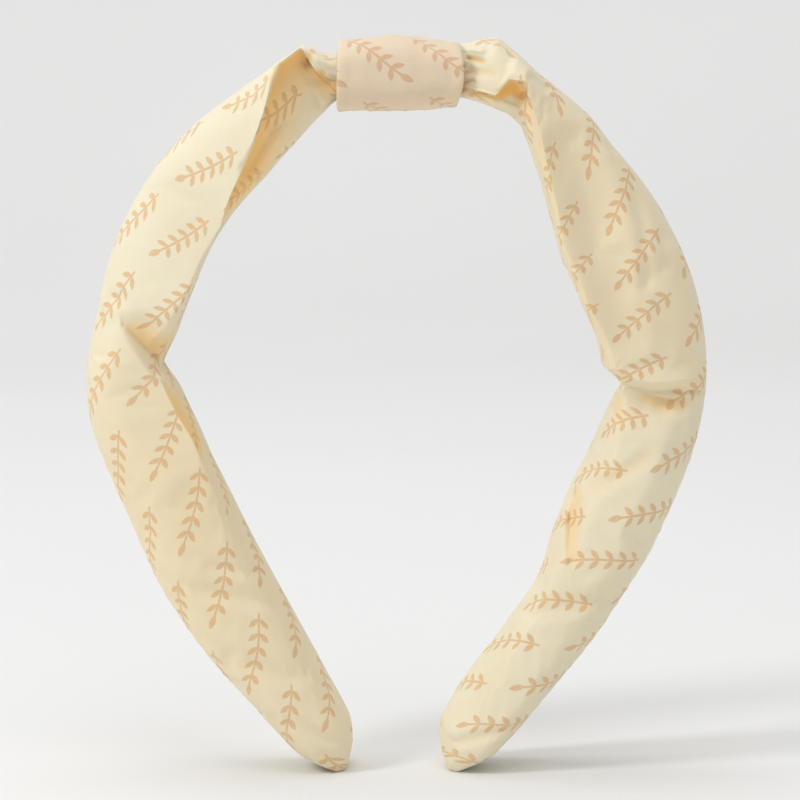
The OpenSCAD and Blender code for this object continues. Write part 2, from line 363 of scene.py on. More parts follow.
def press(ring, at, creases):
    """Presses creases into the front of the rings. Also gives how much warm glow is painted in them."""
    length = np.repeat(at[:, None], ring.shape[1], 1)
    outward, depth = ring[..., 0], ring[..., 1]
    facing = ease(np.clip(depth / depth.min(1, keepdims=True), 0, 1) * 1.6)
    painted_crease_glow = np.zeros_like(depth)
    for points, wide_left, wide_right, kind, painted_glow in creases:
        strongest, closest = np.zeros_like(depth), np.zeros_like(depth)
        total = math.dist(points[0][:2], points[-1][:2])
        for (l0, n0, d0), (l1, n1, d1) in zip(points[:-1], points[1:]):
            run_l, run_n = l1 - l0, n1 - n0
            span = math.hypot(run_l, run_n)
            share = ((length - l0) * run_l + (outward - n0) * run_n) / span**2
            aside = ((outward - n0) * run_l - (length - l0) * run_n) / span
            past = np.maximum(np.maximum(-share, share - 1), 0) * span
            reach = np.where(aside > 0, wide_left, wide_right)
            if kind == "fan":
                done = math.dist(points[0][:2], (l0, n0)) + np.clip(share, 0, 1) * span
                reach = reach * (0.1 + 0.9 * done / total)
            near = np.clip(1 - np.hypot(aside, past) / reach, 0, 1)
            near = ease(near) if kind == "soft" else near
            on_wide_side = ease(0.5 - aside) if kind == "fan" else 1
            closest = np.maximum(closest, near * on_wide_side)
            amount = (d0 + (d1 - d0) * np.clip(share, 0, 1)) * near
            strongest = np.where(np.abs(amount) > np.abs(strongest), amount, strongest)
        stop = np.where(np.abs(outward) < CORE_BAND, BEFORE_CORE, BESIDE_CORE)
        pressed = np.minimum(depth + strongest * facing, np.maximum(depth, stop))
        depth = np.where(facing > 0, pressed, depth)
        # Painted warm glow along the crease, on the front of the sleeve
        painted_crease_glow = np.maximum(painted_crease_glow, painted_glow * ease(closest * 1.3) * facing)
    return np.stack([outward, depth], -1), painted_crease_glow


def painted_fold_light(form, at, ring, painted_crease_glow):
    """Warm colour painted for light caught between layers and for shade: 0 when open, 1 deep in a fold.
    """
    fold = track(form["fold"], at)[:, None]
    behind = fold - ring[..., 0]
    # Both fade out from the front of the tube to its sides, so the back keeps one tone
    forward = -ring[..., 1]
    in_front = ease((forward - 1.5) / 4.5)
    facing = ease(forward / 9)
    painted_glow_reach = track(form["painted_glow_reach"], at)[:, None]
    beside_fold = 0.12 + 0.88 * np.exp(-np.maximum(behind, 0) / painted_glow_reach)
    # Painted warm glow on the cloth behind the fold, fading with distance from it
    painted_fold_glow = ease(behind / 0.6 + 0.4) * beside_fold * track(form["painted_glow"], at)[:, None]
    # The outer side of a fold is open cloth, even where the fold reaches the top of the sleeve
    painted_fold_glow = painted_fold_glow * ease((np.arange(ring.shape[1]) - FOLD_COLUMN) / 3 + 1)
    # Painted shade on the front of panels that turn from the light
    painted_shade_here = facing * track(form["painted_shade_on_panels"], at)[:, None]
    return np.clip(np.maximum(in_front * np.maximum(painted_fold_glow, painted_crease_glow), painted_shade_here), 0, 1)


def keep_clear(surface, at, name):
    """Moves cloth out of the core and the wadding, which stay inside the sleeve."""
    point, normal = hoop(at, SIDES[name])
    offset = surface - point[:, None, :]
    outward = np.einsum("jic,jc->ji", offset, normal)
    high, deep = track(ROOM_HIGH, at)[:, None], track(ROOM_DEEP, at)[:, None]
    inside = (outward / high) ** 2 + (surface[..., 1] / deep) ** 2
    push = np.maximum(1 / np.sqrt(np.maximum(inside, 0.05)), 1) - 1
    moved = surface + (push * outward)[..., None] * normal[:, None, :]
    moved[..., 1] += push * surface[..., 1]
    return moved


def sleeve_surface(name, at):
    """Rings of points of one leg's sleeve in mm, and the painted glow and shade of its cloth at each."""
    corners, out, inner = control_rings(FORMS[name], at)
    ring = spline_ring(corners, RAIL_STEPS)
    ring = soften(ring, 1 - ease(track(FORMS[name]["sharp"], at) * 1.5))
    low, high = ring[..., 0].min(1, keepdims=True), ring[..., 0].max(1, keepdims=True)
    ring[..., 0] = -inner[:, None] + (ring[..., 0] - low) / (high - low) * (out + inner)[:, None]
    ring, painted_crease_glow = press(ring, at, CREASES[name])
    # How much warm glow and shade is painted at each point
    painted_light = painted_fold_light(FORMS[name], at, ring, painted_crease_glow)

    # The gathers: pleats that run out of the wrap, deepest on the side that faces back
    around = np.linspace(0, 2 * math.pi, ring.shape[1], endpoint=False)[None, :]
    gather = track([(8, 1), (13, 0.8), (20, 0.45), (32, 0), (201, 0)], at)[:, None]
    behind = 0.2 + 0.8 * ease(ring[..., 1] / 6 + 0.5)
    pleats = np.cos(9 * around + 0.05 * at[:, None]) + 0.6 * np.cos(14 * around + 1.3)
    ring = ring * (1 + (gather * pleats * behind / 8)[..., None])

    # The closing seam is drawn in a little all along
    seam = np.exp(-((np.arange(ring.shape[1]) - SEAM_COLUMN) ** 2) / 2.0)[None, :]
    ring = ring * (1 - (0.075 * seam * track([(8, 0), (24, 1), (201, 1)], at)[:, None])[..., None])

    end = ((at - (SLEEVE_L - TIP_ROUND)) / (TIP_ROUND + 0.1)).clip(0, 1)[:, None]
    rounding = np.sqrt(np.clip(1 - end**2.2, 0.0004, 1))
    middle = ((out - inner) / 2)[:, None]
    ring[..., 0] = middle + (ring[..., 0] - middle) * rounding
    ring[..., 1] *= 0.25 + 0.75 * rounding

    point, normal = hoop(at, SIDES[name])
    surface = point[:, None, :] + ring[..., :1] * normal[:, None, :]
    surface[..., 1] += ring[..., 1]
    return keep_clear(surface, at, name), painted_light


def cloth_coordinates(surface, at, seam):
    """Distances in mm along the cloth, and around it at the start and end of each side of a ring."""
    steps = np.linalg.norm(np.roll(surface, -1, 1) - surface, axis=2)
    before = np.cumsum(steps, 1) - steps
    past_seam = np.arange(surface.shape[1]) >= seam
    before = np.where(past_seam, before - steps.sum(1, keepdims=True), before)
    along = np.repeat(at[:, None], surface.shape[1], 1)
    return along, before, before + steps


def grid_mesh(name, surface, cloth=None, ends="capped"):
    """Quads through rings of points in mm, with the cloth's coordinates as UV.

    The two ends are capped, or joined to each other.
    """
    rows, cols = surface.shape[:2]
    verts = surface.reshape(-1, 3)
    faces, corners = [], []
    for j in range(rows if ends == "joined" else rows - 1):
        n = (j + 1) % rows
        for i in range(cols):
            k = (i + 1) % cols
            faces.append((j * cols + i, n * cols + i, n * cols + k, j * cols + k))
            corners.append(((j, i, 0), (n, i, 0), (n, i, 1), (j, i, 1)))
    if ends == "capped":
        for j, turn in ((0, 1), (rows - 1, -1)):
            centre = len(verts)
            verts = np.vstack([verts, surface[j].mean(0)])
            for i in range(cols):
                edge = (j * cols + i, j * cols + (i + 1) % cols)[::turn]
                faces.append((centre, *edge))
                corners.append(((j, i, 0), *((j, i, 0), (j, i, 1))[::turn]))
    mesh = bpy.data.meshes.new(name)
    mesh.from_pydata((verts * MM).tolist(), [], faces)
    if cloth is not None:
        along, start, end = cloth
        layer = mesh.uv_layers.new(name="cloth")
        flat = [
            (along[j, i] * MM, (end if last else start)[j, i] * MM)
            for face in corners
            for j, i, last in face
        ]
        layer.data.foreach_set("uv", np.array(flat, np.float32).ravel())
    mesh.polygons.foreach_set("use_smooth", [True] * len(mesh.polygons))
    mesh.update()
    piece = bpy.data.objects.new(name, mesh)
    bpy.context.scene.collection.objects.link(piece)
    return piece


def tube_along(path, radius):
    """Rings of points of a round tube along a path of points in mm."""
    sides = 8
    path = np.asarray(path, float)
    ahead = np.gradient(path, axis=0)
    ahead /= np.linalg.norm(ahead, axis=1, keepdims=True)
    side = np.cross(ahead, np.roll(ahead, 3, 1) + [0.3, 0.1, 0.2])
    side /= np.linalg.norm(side, axis=1, keepdims=True)
    for j in range(1, len(side)):
        side[j] = side[j - 1] - ahead[j] * (side[j - 1] @ ahead[j])
        side[j] /= np.linalg.norm(side[j])
    up = np.cross(ahead, side)
    turn = np.linspace(0, 2 * math.pi, sides, endpoint=False)
    cos, sin = np.cos(turn)[None, :, None], np.sin(turn)[None, :, None]
    offset = cos * side[:, None, :] + sin * up[:, None, :]
    return path[:, None, :] + radius * offset


def place_points(piece, surface):
    """Moves a grid mesh's points to a surface in mm. Its cap centres stay."""
    mesh = piece.data
    where = np.empty(len(mesh.vertices) * 3)
    mesh.vertices.foreach_get("co", where)
    where[: surface.size] = surface.ravel() * MM
    mesh.vertices.foreach_set("co", where)
    mesh.update()


def paint(piece, name, values):
    """Stores one number per point of a grid mesh, for its material. Cap centres get zero."""
    layer = piece.data.attributes.new(name, "FLOAT", "POINT")
    padded = np.zeros(len(piece.data.vertices), np.float32)
    padded[: values.size] = values.ravel()
    layer.data.foreach_set("value", padded)


def join(name, pieces):
    """One piece made of several."""
    verts, faces = [], []
    for piece in pieces:
        mesh = piece.data
        faces += [[len(verts) + v for v in p.vertices] for p in mesh.polygons]
        verts += [tuple(v.co) for v in mesh.vertices]
        bpy.data.objects.remove(piece)
        bpy.data.meshes.remove(mesh)
    mesh = bpy.data.meshes.new(name)
    mesh.from_pydata(verts, [], faces)
    mesh.polygons.foreach_set("use_smooth", [True] * len(faces))
    whole = bpy.data.objects.new(name, mesh)
    bpy.context.scene.collection.objects.link(whole)
    return whole


# ---------------------------------------------------------------- cloth simulation

# The cloth solver is made for things about a metre long, so the sleeve is settled ten times as big
SIM_SCALE = 10.0
SIM_FRAMES = 16


def refine(coarse, axis, closed):
    """Doubles the rows or columns of a grid of moves, on a smooth curve through them."""
    last, after = np.roll(coarse, 1, axis), np.roll(coarse, -1, axis)
    beyond = np.roll(coarse, -2, axis)
    between = (9 * (coarse + after) - last - beyond) / 16
    if not closed:
        between[0], between[-2] = (coarse[0] + coarse[1]) / 2, (coarse[-2] + coarse[-1]) / 2
    both = np.stack([coarse, between], axis + 1)
    shape = list(coarse.shape)
    shape[axis] *= 2
    both = both.reshape(shape)
    return both if closed else both[:-1]


def settle(surface, hold):
    """Where the cloth comes to rest as it buckles and puffs a little, worked out on every other point."""
    coarse, weights = surface[::2, ::2], hold[::2, ::2]
    cloth = grid_mesh("settling", coarse * SIM_SCALE)
    count = coarse.shape[0] * coarse.shape[1]
    held = np.append(weights.ravel(), [1, 1]).round(2)
    group = cloth.vertex_groups.new(name="hold")
    for level in np.unique(held):
        group.add(np.nonzero(held == level)[0].tolist(), float(level), "REPLACE")
    modifier = cloth.modifiers.new("cloth", "CLOTH")
    settings = modifier.settings
    settings.quality = 5
    settings.mass = 0.2
    settings.tension_stiffness = 25
    settings.compression_stiffness = 25
    settings.shear_stiffness = 12
    settings.bending_stiffness = 2
    settings.air_damping = 3
    settings.use_pressure = True
    settings.uniform_pressure_force = 1.0
    settings.shrink_min = -0.007
    settings.vertex_group_mass = "hold"
    settings.pin_stiffness = 1.0
    settings.effector_weights.gravity = 0
    modifier.collision_settings.use_collision = False
    modifier.point_cache.frame_end = SIM_FRAMES
    for tick in range(1, SIM_FRAMES + 1):
        bpy.context.scene.frame_set(tick)
    seen = cloth.evaluated_get(bpy.context.evaluated_depsgraph_get())
    done = np.empty(len(cloth.data.vertices) * 3)
    seen.data.vertices.foreach_get("co", done)
    bpy.context.scene.frame_set(1)
    mesh = cloth.data
    bpy.data.objects.remove(cloth)
    bpy.data.meshes.remove(mesh)
    rested = done.reshape(-1, 3)[:count].reshape(coarse.shape) / (SIM_SCALE * MM)
    move = refine(refine(rested - coarse, 0, closed=False), 1, closed=True)
    far = np.linalg.norm(move, axis=2, keepdims=True)
    return surface + move * np.minimum(1, MOST_SETTLING / np.maximum(far, 1e-9))


def hold_weights(name, at, painted_light):
    """How firmly each point of a sleeve keeps its place: most along the folds and at both ends."""
    cols = painted_light.shape[1]
    column = np.arange(cols)
    crisp = track(FORMS[name]["sharp"], at)[:, None]
    firmness = {
        OUTER_COLUMN: 0.95,
        FOLD_COLUMN: 0.8 * crisp,
        VALLEY_COLUMN: 0.6 * crisp,
        INNER_COLUMN: 0.95,
    }
    rails = np.zeros((1, cols))
    for rail, firm in firmness.items():
        gap = np.abs((column - rail + cols / 2) % cols - cols / 2)
        rails = np.maximum(rails, firm * np.exp(-((gap / 4.0) ** 2))[None, :])
    start, end = 1 - (at - SLEEVE_START) / 16, (at - (SLEEVE_L - 12)) / 12
    ends = np.maximum(start, end).clip(0, 1)[:, None]
    # The strip between the fold and the inner edge is held where it is narrow, or it would crumple
    strip = track(FORMS[name]["fold"], at) + track(FORMS[name]["in"], at)
    in_strip = (column > 3 * RAIL_STEPS) & (column < INNER_COLUMN)
    narrow = 0.85 * ease((4 - strip) / 2)[:, None] * in_strip[None, :]
    return np.clip(np.maximum.reduce([0.3 + rails, narrow, ends + 0 * painted_light, 0.8 * painted_light]), 0.15, 1)


# ---------------------------------------------------------------- the sewn pieces


def leg_sleeve(name):
    """One leg's cloth sleeve, with the length of each of its rings and their points."""
    lengths, counts = zip(*RING_COUNT)
    at = np.interp(np.arange(counts[-1] + 1), counts, lengths)
    surface, painted_light = sleeve_surface(name, at)
    surface[..., 2] = np.maximum(surface[..., 2], LOWEST)
    piece = grid_mesh(name + "_sleeve", surface, cloth_coordinates(surface, at, SEAM_COLUMN))
    surface = keep_clear(settle(surface, hold_weights(name, at, painted_light)), at, name)
    surface[..., 2] = np.maximum(surface[..., 2], LOWEST)
    place_points(piece, surface)
    # The painted glow and shade go to the material
    paint(piece, "painted_fold_light", painted_light)
    return piece, at, surface


def leg_wadding(name):
    """Soft strip round a leg's core: lumpy, and thinner where the sleeve folds in on it."""
    start, before_tip = 34.0, 8.0
    high = [(34, 2.6), (42, 3.2), (96, 3.2), (103, 2.6), (112, 3.2), (180, 3.1), (187, 2.4)]
    deep = [(34, 5.4), (44, 6.4), (96, 6.4), (103, 5.6), (112, 6.4), (180, 6.3), (187, 5.2)]

    def squared(v):
        return np.sign(v) * np.abs(v) ** 0.75

    at = np.linspace(start, ARC_L + LEG_L - before_tip, 120)
    turn = np.linspace(0, 2 * math.pi, 36, endpoint=False)
    lumps = 1 + 0.06 * value_noise(at[:, None] / 5 + 3, turn[None, :] * 2.2, 5)
    point, normal = hoop(at, SIDES[name])
    out = track(high, at)[:, None] * squared(np.cos(turn))[None, :] * lumps
    deep = track(deep, at)[:, None] * squared(np.sin(turn))[None, :] * lumps
    surface = point[:, None, :] + out[..., None] * normal[:, None, :]
    surface[..., 1] += deep
    return grid_mesh(name + "_wadding", surface)


def rounded_section(half_deep, half_high, steps, fullness):
    """Evenly spaced points round a rounded rectangle, from the back over the top, and its girth."""
    fine = np.linspace(0, 2 * math.pi, 4000)
    y = np.sign(np.cos(fine)) * np.abs(np.cos(fine)) ** (2 / fullness) * half_deep
    z = np.sign(np.sin(fine)) * np.abs(np.sin(fine)) ** (2 / fullness) * half_high
    run = np.concatenate([[0], np.cumsum(np.hypot(np.diff(y), np.diff(z)))])
    even = np.linspace(0, run[-1], steps, endpoint=False)
    return np.interp(even, run, y), np.interp(even, run, z), run[-1]


def wrap():
    """The folded strip over the crown: a short open tube, hemmed at its ends and lapped underneath."""
    low, high = (np.array(corner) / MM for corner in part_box("knot_wrap"))
    steps, thick, hem_wide, lap_column = 160, 1.2, 1.7, 126
    half_deep, half_high = (high[1] - low[1]) / 2, (high[2] - low[2]) / 2
    y, z, girth = rounded_section(half_deep, half_high, steps, 2.7)
    slope = np.stack([np.gradient(z), -np.gradient(y)], -1)
    facing = slope / np.linalg.norm(slope, axis=1, keepdims=True)
    level = z / half_high
    # The left end leans a little, and the right end curves back above and below
    left_end = -12.3 + 0.15 * level
    right_end = 13.9 - np.where(level > 0, 0.8, 1.3) * level**2
    outer = np.linspace(0, 1, 56)
    inner = np.linspace(1, 0, 18)
    bend = np.linspace(0, math.pi, 7)[1:-1]
    # Across the strip and round its edges: share of the width, how far past the end, and how far out
    profile = [(s, 0.0, 0.0) for s in outer]
    profile += [(1.0, math.sin(b), (math.cos(b) - 1) / 2) for b in bend]
    profile += [(s, 0.0, -1.0) for s in inner]
    profile += [(0.0, -math.sin(b), (-math.cos(b) - 1) / 2) for b in bend]
    column = np.arange(steps)
    lap = np.where(column >= lap_column, np.exp(-((column - lap_column) / 14.0) ** 2), 0)
    rings, along = [], []
    for share, past, offset in profile:
        x = left_end + (right_end - left_end) * share
        x = x + past * thick / 2
        # The top is highest near the middle, and the underside falls to the left
        rise = track([(-14, -0.45), (-2, 0.65), (14, -1.0)], x)
        lift = track([(-14, -0.4), (0, -0.2), (14, 0.7)], x)
        top = ease((level + 1) / 2)
        height = z + rise * top + lift * (1 - top)
        swell = 0.35 * value_noise(x / 7 + 5, column / 20.0, 8)
        swell = swell + 0.12 * value_noise(x / 2.5, column / 7.0, 9)
        near_end = np.minimum(x - left_end, right_end - x)
        hem = 0.12 * (1 - ease((near_end - hem_wide + 0.3) / 0.5))
        on_top = 1.0 if offset > -0.5 else 0.0
        out = offset * thick + on_top * (hem + 0.3 * lap) + swell * ease(near_end / 3 + 0.2)
        height = height + facing[:, 1] * out + (low[2] + high[2]) / 2
        rings.append(np.stack([x, y + facing[:, 0] * out, height], -1))
        along.append(x + (0 if on_top else 100))
    surface = np.stack(rings)
    around = np.repeat((np.arange(steps) * girth / steps)[None, :], len(rings), 0)
    cloth = (np.stack(along), around, around + girth / steps)
    piece = grid_mesh("crown_wrap", surface, cloth, ends="joined")
    return piece, surface[: len(outer)], lap_column


def gathered_middle():
    """The sleeve drawn into tight pleats round the core, under the wrap."""
    at = np.linspace(-10.5, 10.5, 72)
    turn = np.linspace(0, 2 * math.pi, 168, endpoint=False)
    point, normal = hoop(np.abs(at), 1)
    point[:, 0] *= np.sign(at)
    normal[:, 0] *= np.sign(at)
    pleats = 0.55 * np.cos(15 * turn)[None, :] + 0.25 * np.cos(23 * turn + 0.8)[None, :]
    pinch = 1 - 0.07 * np.exp(-((at / 2.2) ** 2)) - 0.10 * ease((np.abs(at) - 7.5) / 3)
    half_high, half_deep, pleat_depth = 4.3, 8.3, 0.8
    out = (half_high + pleat_depth * pleats) * np.cos(turn)[None, :] * pinch[:, None]
    deep = (half_deep + pleat_depth * pleats) * np.sin(turn)[None, :] * pinch[:, None]
    surface = point[:, None, :] + out[..., None] * normal[:, None, :]
    surface[..., 1] += deep
    return grid_mesh("gathered_middle", surface, cloth_coordinates(surface, at, 84))


def wound_thread():
    """Four turns of thread that hold the gathers, with a short tail."""
    turns, pitch = 4, 0.8
    half_deep, half_high = 8.55, 4.55
    angle = np.linspace(0, 2 * math.pi * turns, 60 * turns)
    x = pitch * (angle / (2 * math.pi) - turns / 2)
    ripple = 0.1 * np.cos(15 * angle)
    y = (half_deep + ripple) * np.sin(angle)
    z = HOOP_Z + HOOP_R + (half_high + ripple) * np.cos(angle)
    path = np.stack([x, y, z], -1)
    tail = path[-1] + np.outer(np.linspace(0.1, 1, 8), [1.6, 2.0, 0.2])
    return grid_mesh("wound_thread", tube_along(np.vstack([path, tail]), WINDING_R))


def stitches(name, spots, length=3.0, arch=0.22):
    """Short arched stitches whose ends go into the cloth.

    A spot is a point, the way the stitch runs and the way the cloth faces.
    """
    made = []
    for point, direction, facing in spots:
        direction = direction / np.linalg.norm(direction)
        facing = facing / np.linalg.norm(facing)
        t = np.linspace(-1, 1, 9)
        path = point + np.outer(t * length / 2, direction) + np.outer(arch - 0.75 * t**4, facing)
        made.append(grid_mesh("stitch", tube_along(path, STITCH_R)))
    return join(name, made)


def cloth_facing(surface, j, i):
    """The way a point of a surface faces, and the way along its rings."""
    rows, cols = surface.shape[:2]
    down = surface[min(j + 1, rows - 1), i] - surface[max(j - 1, 0), i]
    round_way = surface[j, (i + 1) % cols] - surface[j, (i - 1) % cols]
    facing = np.cross(down, round_way)
    middle = surface[j].mean(0)
    if facing @ (surface[j, i] - middle) < 0:
        facing = -facing
    return facing, down, round_way


def leg_stitches(name, at, surface):
    """The closing seam's slip stitches, and the hand stitches that close the tip."""
    seam_from, seam_to, seam_pitch = 26.5, 178, 6.0
    tip_from, tip_pitch = 5.5, 2.6
    seam = []
    for length in np.arange(seam_from, seam_to, seam_pitch):
        j = int(np.abs(at - length).argmin())
        facing, down, round_way = cloth_facing(surface, j, SEAM_COLUMN)
        lean = down / np.linalg.norm(down) + 0.45 * round_way / np.linalg.norm(round_way)
        seam.append((surface[j, SEAM_COLUMN], lean, facing))
    tip = []
    for k in range(4):
        j = int(np.abs(at - (SLEEVE_L - tip_from - tip_pitch * k)).argmin())
        facing, _, round_way = cloth_facing(surface, j, SEAM_COLUMN)
        tip.append((surface[j, SEAM_COLUMN], round_way, facing))
    return stitches(name + "_seam_thread", seam), stitches(name + "_tip_thread", tip, 2.4, arch=0.08)


def wrap_thread(surface, column):
    """Slip stitches along the wrap's lap, underneath."""
    spots = []
    for k in range(6):
        j = int((k + 0.75) / 6.5 * (surface.shape[0] - 1))
        facing, down, round_way = cloth_facing(surface, j, column)
        lean = round_way / np.linalg.norm(round_way) + 0.35 * down / np.linalg.norm(down)
        spots.append((surface[j, column], lean, facing))
    return stitches("wrap_thread", spots, 2.4, arch=-0.2)


sleeves = {name: leg_sleeve(name) for name in SIDES}
waddings = {name: leg_wadding(name) for name in SIDES}
crown_wrap, wrap_surface, wrap_lap = wrap()
middle = gathered_middle()
gather_winding = wound_thread()
wrap_sewing = wrap_thread(wrap_surface, wrap_lap)
leg_sewing = {name: leg_stitches(name, at, surface) for name, (_, at, surface) in sleeves.items()}

# ---------------------------------------------------------------- materials


class Nodes:
    """Shorthand for building a material's node tree."""

    def __init__(self, name):
        self.material = bpy.data.materials.new(name)
        self.material.use_nodes = True
        self.tree = self.material.node_tree
        self.shader = self.tree.nodes["Principled BSDF"]

    def node(self, kind, **settings):
        """A new node of a kind, with its settings."""
        made = self.tree.nodes.new(kind)
        for key, value in settings.items():
            setattr(made, key, value)
        return made

    def link(self, value, socket):
        """Feeds a socket from another socket, or sets it to a plain value."""
        if isinstance(value, bpy.types.NodeSocket):
            self.tree.links.new(value, socket)
        else:
            socket.default_value = value

    def math(self, operation, *values):
        """One step of arithmetic."""
        made = self.node("ShaderNodeMath", operation=operation)
        for value, socket in zip(values, made.inputs):
            self.link(value, socket)
        return made.outputs[0]

    def mix(self, share, first, second):
        """A blend of two colours."""
        made = self.node("ShaderNodeMix", data_type="RGBA")
        self.link(share, made.inputs[0])
        self.link(first, made.inputs[6])
        self.link(second, made.inputs[7])
        return made.outputs[2]

    def noise(self, vector, scale, detail, roughness=0.5):
        """Noise at a place, from 0 to 1."""
        made = self.node("ShaderNodeTexNoise")
        self.link(vector, made.inputs["Vector"])
        made.inputs["Scale"].default_value = scale
        made.inputs["Detail"].default_value = detail
        made.inputs["Roughness"].default_value = roughness
        return made.outputs["Fac"]

    def remap(self, value, low, high, new_low=0.0, new_high=1.0):
        """A smooth step from one range to another."""
        made = self.node("ShaderNodeMapRange", interpolation_type="SMOOTHSTEP")
        for number, socket in zip((value, low, high, new_low, new_high), made.inputs):
            self.link(number, socket)
        return made.outputs[0]

    def bump(self, height, strength, distance, below=None):
        """Fine relief, on top of any relief below it."""
        made = self.node("ShaderNodeBump")
        made.inputs["Strength"].default_value = strength
        made.inputs["Distance"].default_value = distance
        self.link(height, made.inputs["Height"])
        if below is not None:
            self.link(below, made.inputs["Normal"])
        return made.outputs["Normal"]


def sprig_print(n, x, y, angle, sway):
    """Mask of a leafy sprig repeated in staggered diagonal rows.

    x and y are distances in mm along and around the cloth. sway lets the rows drift round the cloth
    along its length: by how much, and how fast that changes.
    """
    pitch, row_pitch, leaf_pitch = 24.0, 10.0, 3.0
    leaf_half, leaf_wide, leaf_rise, leaf_lean = 1.45, 0.6, 1.15, math.radians(48)
    stem_half, stem_end, leaves_end, tip_at = 0.25, 8.15, 7.5, 9.0
    slide, curve = sway
    drift = n.math("MULTIPLY", x, n.math("MULTIPLY_ADD", x, curve, slide))
    y = n.math("ADD", y, drift)
    cos, sin = math.cos(angle), math.sin(angle)
    along = n.math("ADD", n.math("MULTIPLY", x, cos), n.math("MULTIPLY", y, sin))
    across = n.math("SUBTRACT", n.math("MULTIPLY", y, cos), n.math("MULTIPLY", x, sin))
    row = n.math("FLOOR", n.math("DIVIDE", across, row_pitch))
    along = n.math("MULTIPLY_ADD", row, 0.42 * pitch, along)
    dx = n.math("SUBTRACT", n.math("FLOORED_MODULO", along, pitch), pitch / 2)
    dy = n.math("SUBTRACT", n.math("FLOORED_MODULO", across, row_pitch), row_pitch / 2)
    bend = n.math("MULTIPLY", n.math("MULTIPLY", dx, dx), 0.012)
    dy = n.math("SUBTRACT", n.math("ADD", dy, bend), 0.4)
    height = n.math("ABSOLUTE", dy)
    reach = n.math("ABSOLUTE", dx)

    def leaf(lx, ly, half, wide):
        taper = n.math("SUBTRACT", 1.0, n.math("POWER", n.math("DIVIDE", lx, half), 2.0))
        edge = n.math("SUBTRACT", n.math("MULTIPLY", taper, wide), n.math("ABSOLUTE", ly))
        return n.remap(edge, -0.12, 0.16)

    cell = n.math("FLOORED_MODULO", n.math("ADD", dx, leaf_pitch / 2), leaf_pitch)
    cell = n.math("SUBTRACT", cell, leaf_pitch / 2)
    up = n.math("SUBTRACT", height, leaf_rise)
    cos, sin = math.cos(leaf_lean), math.sin(leaf_lean)
    lx = n.math("ADD", n.math("MULTIPLY", cell, cos), n.math("MULTIPLY", up, sin))
    ly = n.math("SUBTRACT", n.math("MULTIPLY", up, cos), n.math("MULTIPLY", cell, sin))
    leaves = n.remap(reach, leaves_end + 0.1, leaves_end - 0.1)
    pairs = n.math("MULTIPLY", leaf(lx, ly, leaf_half, leaf_wide), leaves)
    stem = n.math(
        "MULTIPLY",
        n.remap(height, stem_half + 0.09, stem_half - 0.09),
        n.remap(reach, stem_end + 0.15, stem_end - 0.15),
    )
    tip = leaf(n.math("SUBTRACT", dx, tip_at), dy, 1.7, 0.75)
    return n.math("MAXIMUM", n.math("MAXIMUM", pairs, stem), tip)


CREAM = (0.85, 0.78, 0.59)
# The warm colour mixed into the cloth where glow is painted in folds and shade is painted on panels
PAINTED_WARM_LIGHT = (1.0, 0.62, 0.2)
INK = (0.74, 0.47, 0.23)
WRAP_CREAM = (0.81, 0.665, 0.495)
WRAP_INK = (0.67, 0.42, 0.24)
YARN_PITCH = 0.42


def printed_cloth(name, base, ink, angle, sway=(0.0, 0.0)):
    """Plain weave cotton with the sprig print, with warm gold painted in folds and shade painted on
    panels.
    """
    n = Nodes(name)
    uv = n.node("ShaderNodeUVMap", uv_map="cloth").outputs[0]
    split = n.node("ShaderNodeSeparateXYZ")
    n.link(uv, split.inputs[0])
    x = n.math("MULTIPLY", split.outputs[0], 1 / MM)
    y = n.math("MULTIPLY", split.outputs[1], 1 / MM)
    place = n.node("ShaderNodeTexCoord").outputs["Object"]
    shade = n.remap(n.noise(place, 60.0, 3.0), 0.3, 0.7)
    deeper = tuple(c * f for c, f in zip(base, (0.975, 0.965, 0.94)))
    cloth = n.mix(shade, (*deeper, 1), (*base, 1))
    # Painted glow and shade: the cloth is mixed towards the warm colour by the amount stored on the mesh
    painted_light = n.node("ShaderNodeAttribute", attribute_name="painted_fold_light").outputs["Fac"]
    cloth = n.mix(painted_light, cloth, (*PAINTED_WARM_LIGHT, 1))
    thread_turn = 2 * math.pi / YARN_PITCH
    warp = n.math("SINE", n.math("MULTIPLY", x, thread_turn))
    weft = n.math("SINE", n.math("MULTIPLY", y, thread_turn))
    weave = n.math("MULTIPLY", warp, weft)
    slub = n.noise(uv, 1600.0, 2.0)
    mask = sprig_print(n, x, y, angle, sway)
    wear = n.remap(n.noise(uv, 2200.0, 2.0), 0.25, 0.6, 0.55, 0.8)
    colour = n.mix(n.math("MULTIPLY", mask, wear), cloth, (*ink, 1))
    n.link(colour, n.shader.inputs["Base Color"])
    normal = n.bump(n.noise(place, 150.0, 4.0, 0.55), 0.3, 0.0006)
    normal = n.bump(n.math("ADD", weave, slub), 0.22, 0.00004, normal)
    n.link(normal, n.shader.inputs["Normal"])
    n.shader.inputs["Roughness"].default_value = 0.86
    n.shader.inputs["Specular IOR Level"].default_value = 0.25
    n.shader.inputs["Sheen Weight"].default_value = 0.1
    n.shader.inputs["Sheen Roughness"].default_value = 0.5
    n.shader.inputs["Subsurface Weight"].default_value = 0.25
    n.shader.inputs["Subsurface Radius"].default_value = (1.0, 0.6, 0.25)
    n.shader.inputs["Subsurface Scale"].default_value = 0.002
    return n.material


